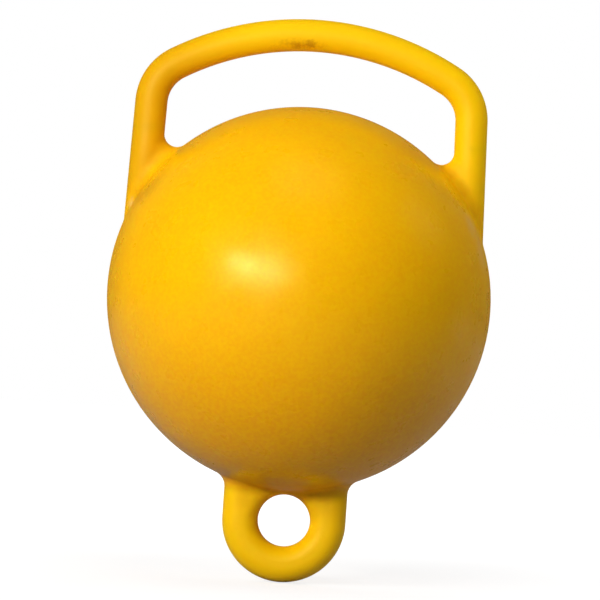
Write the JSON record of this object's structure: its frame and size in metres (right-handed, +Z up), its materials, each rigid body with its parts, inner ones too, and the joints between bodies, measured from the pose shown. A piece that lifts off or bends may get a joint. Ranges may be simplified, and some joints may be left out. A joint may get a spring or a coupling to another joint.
{
  "type": "round mooring buoy with carrying handle",
  "caption": "Round moulded plastic mooring buoy with an arched carrying handle on top and a rounded mooring eye below.",
  "frame": {"origin": "centre of the ball, at the design waterline of the buoy under its chain", "axes": "+Z up the buoy's axis through the handle's crown; X along the handle and the eye, -Y the front"},
  "size_m": [0.25, 0.25, 0.3672],
  "materials": {
    "yellow_shell": "satin moulded polyethylene, lightly worn",
    "yellow_plug": "satin moulded polyethylene"
  },
  "bodies": {
    "root": {"float_body": "yellow_shell", "carry_handle": "yellow_shell", "mooring_eye": "yellow_shell", "filler_plug": "yellow_plug"}
  },
  "joints": []
}
